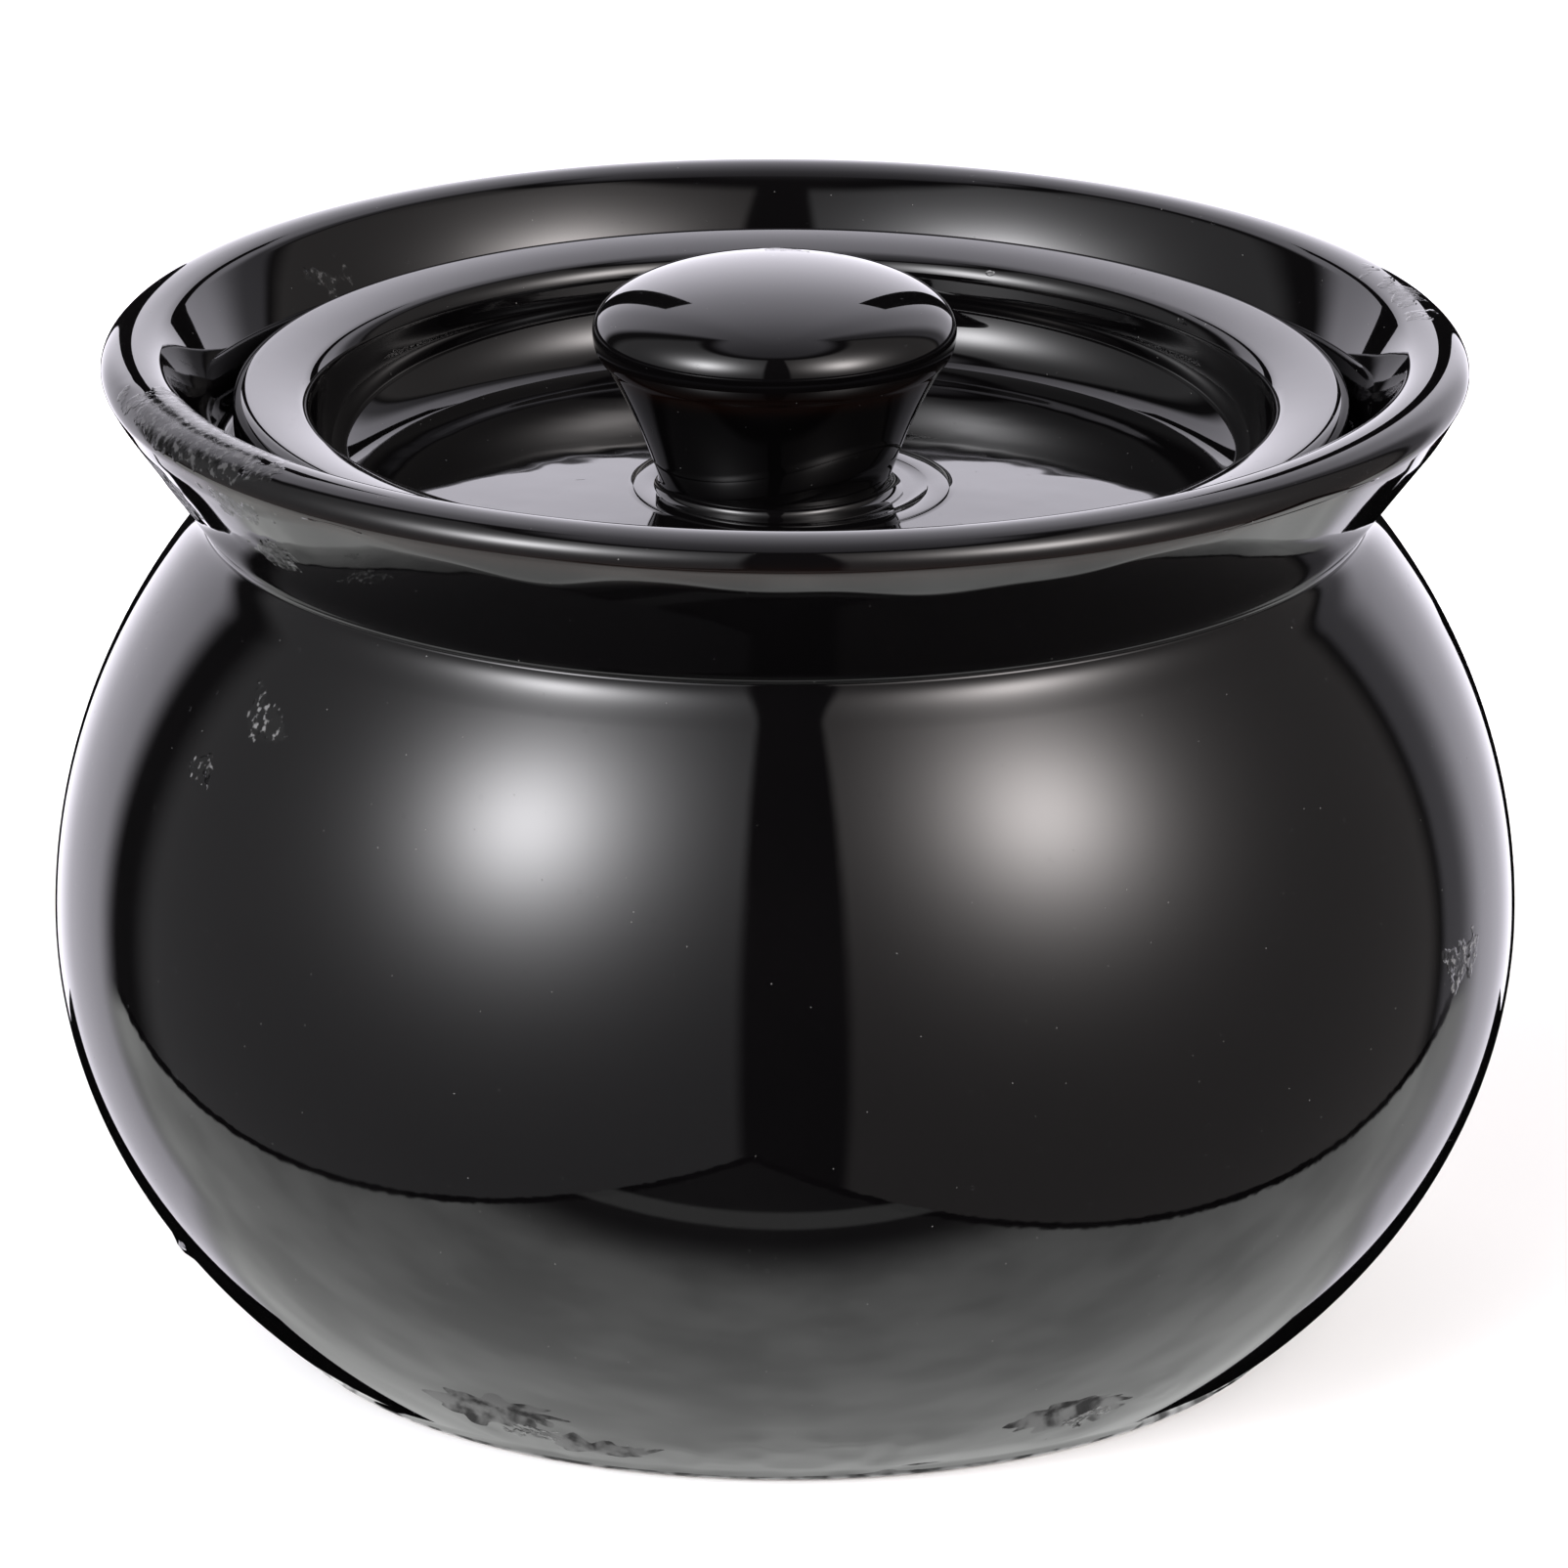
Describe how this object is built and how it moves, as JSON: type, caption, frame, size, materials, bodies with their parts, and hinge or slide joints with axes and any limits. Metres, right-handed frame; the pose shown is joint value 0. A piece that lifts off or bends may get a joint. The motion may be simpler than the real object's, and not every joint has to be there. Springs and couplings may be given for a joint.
{
  "type": "lidded clay pot",
  "caption": "Round-bellied black glazed clay pot with a flared rolled rim and a sunken lift-off lid with a mushroom knob.",
  "frame": {"origin": "middle of the foot, on the surface that the pot stands on", "axes": "+Z is the pot's axis of rotation, from the foot to the knob"},
  "size_m": [0.14, 0.14, 0.1047],
  "materials": {
    "pot_glaze": "mirror-gloss black glaze on clay",
    "lid_glaze": "mirror-gloss black glaze on clay"
  },
  "bodies": {
    "pot": {"pot_body": "pot_glaze", "rim_collar": "pot_glaze"},
    "lid": {"lid_plate": "lid_glaze", "lid_knob": "lid_glaze"}
  },
  "joints": [
    {"name": "lid_lift", "type": "slide", "parent": "pot", "child": "lid", "axis": [0, 0, 1], "range_m": [0, 0.04]}
  ]
}
